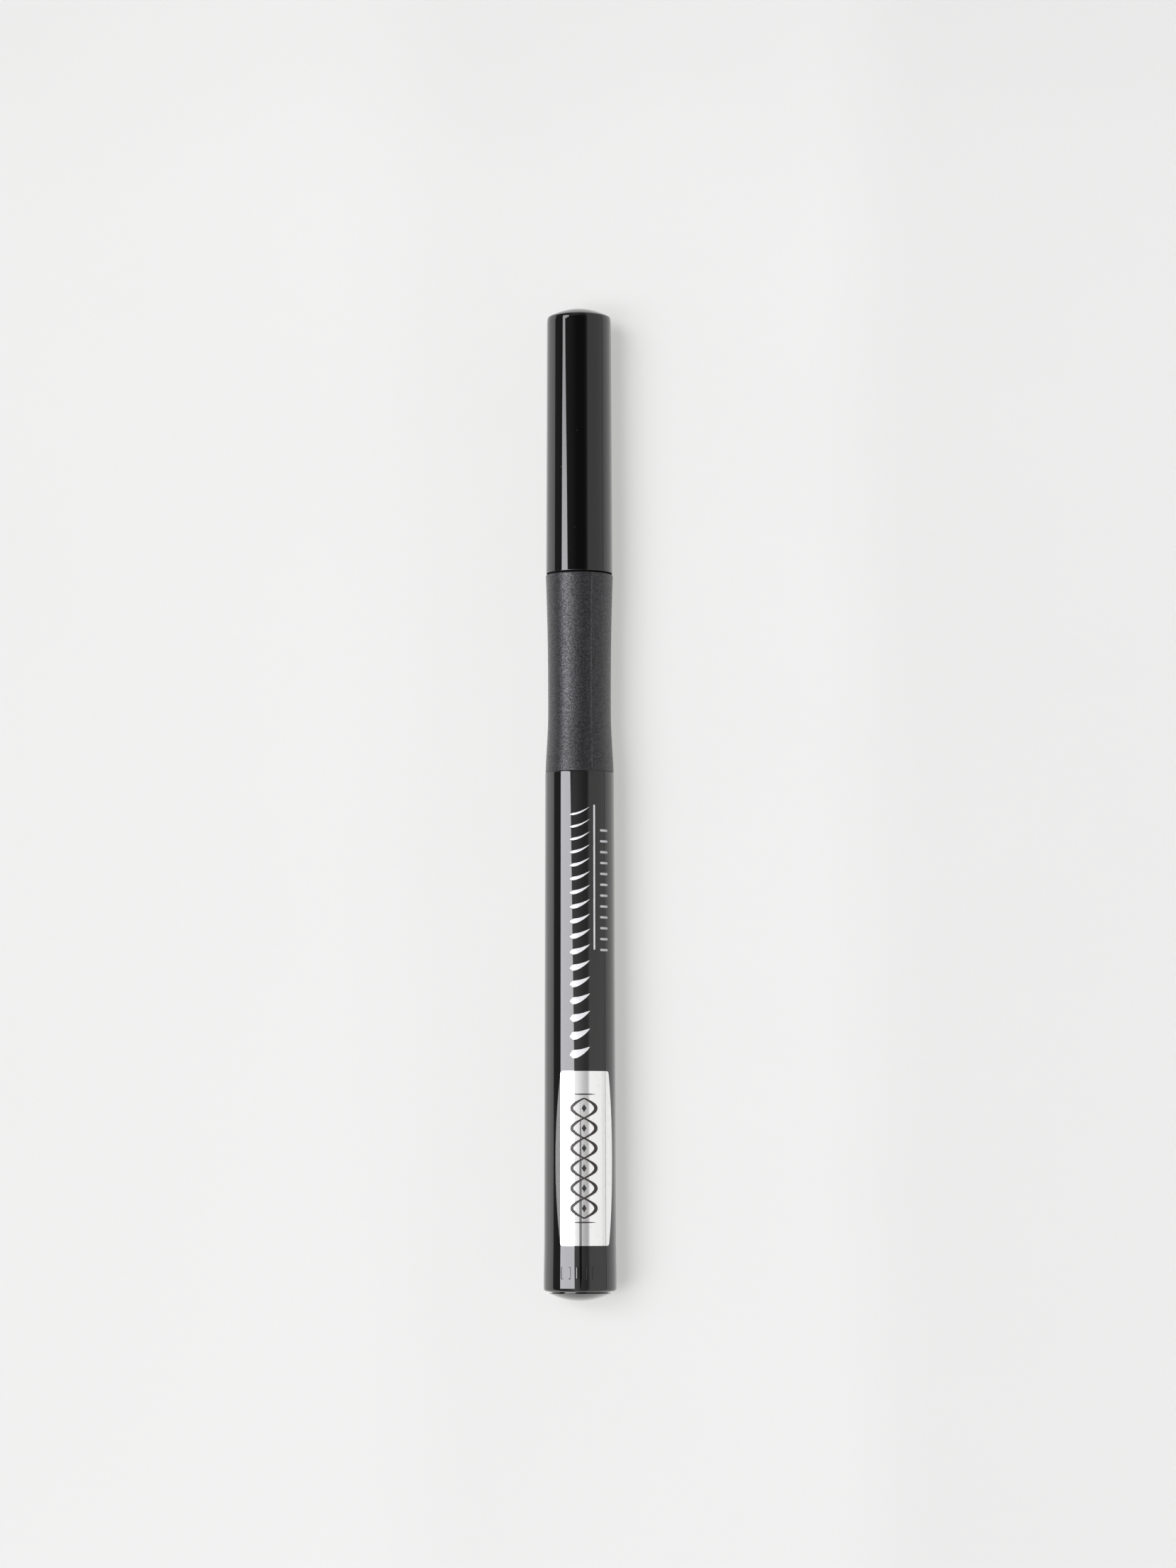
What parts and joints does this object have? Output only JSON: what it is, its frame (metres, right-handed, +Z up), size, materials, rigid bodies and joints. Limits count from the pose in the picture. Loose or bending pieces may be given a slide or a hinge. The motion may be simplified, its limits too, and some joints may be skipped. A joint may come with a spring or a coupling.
{
  "type": "felt-tip eyeliner pen",
  "caption": "Capped felt-tip eyeliner pen with a domed pull-off cap, waisted grip, tapered barrel and domed tail plug, with sprung inner cap, wick and fibre reservoir inside.",
  "frame": {"origin": "on the table the pen lies on, below the middle of its length", "axes": "+Y along the pen to the cap's end, +Z up, +X to the right"},
  "size_m": [0.01, 0.139, 0.0099],
  "materials": {
    "cap_gloss": "gloss",
    "inner_cap_natural": "satin",
    "spring_steel": "satin",
    "nib_fibre": "matte",
    "wick_fibre": "matte",
    "holder_plastic": "satin",
    "front_plastic": "satin",
    "grip_graphite": "matte",
    "barrel_gloss": "gloss",
    "plug_gloss": "gloss",
    "core_fibre": "matte",
    "film_plastic": "satin"
  },
  "bodies": {
    "pen": {"barrel_tube": "barrel_gloss", "grip_sleeve": "grip_graphite", "front_section": "front_plastic", "nib_holder": "holder_plastic", "feed_wick": "wick_fibre", "reservoir_core": "core_fibre", "reservoir_film": "film_plastic", "tail_plug": "plug_gloss"},
    "nib": {"nib_tip": "nib_fibre"},
    "inner_cap": {"inner_cap": "inner_cap_natural"},
    "spring": {"inner_cap_spring": "spring_steel"},
    "cap": {"cap_shell": "cap_gloss"}
  },
  "joints": [
    {"name": "nib_flex", "type": "hinge", "parent": "pen", "child": "nib", "pos_m": [0, 0.05113, 0.00494], "axis": [1, 0, 0], "range_deg": [-8, 8], "stiffness_Nm_per_rad": 0.01},
    {"name": "cap_pull", "type": "slide", "parent": "pen", "child": "inner_cap", "axis": [0, 1, 0], "range_m": [0, 0.032]},
    {"name": "cap_turn", "type": "hinge", "parent": "inner_cap", "child": "spring", "pos_m": [0, 0.05966, 0.00494], "axis": [0, 1, 0], "continuous": true},
    {"name": "cap_lift", "type": "slide", "parent": "spring", "child": "cap", "axis": [0, 1, 0], "range_m": [0, 0.0012], "deforming": ["inner_cap_spring"]}
  ]
}
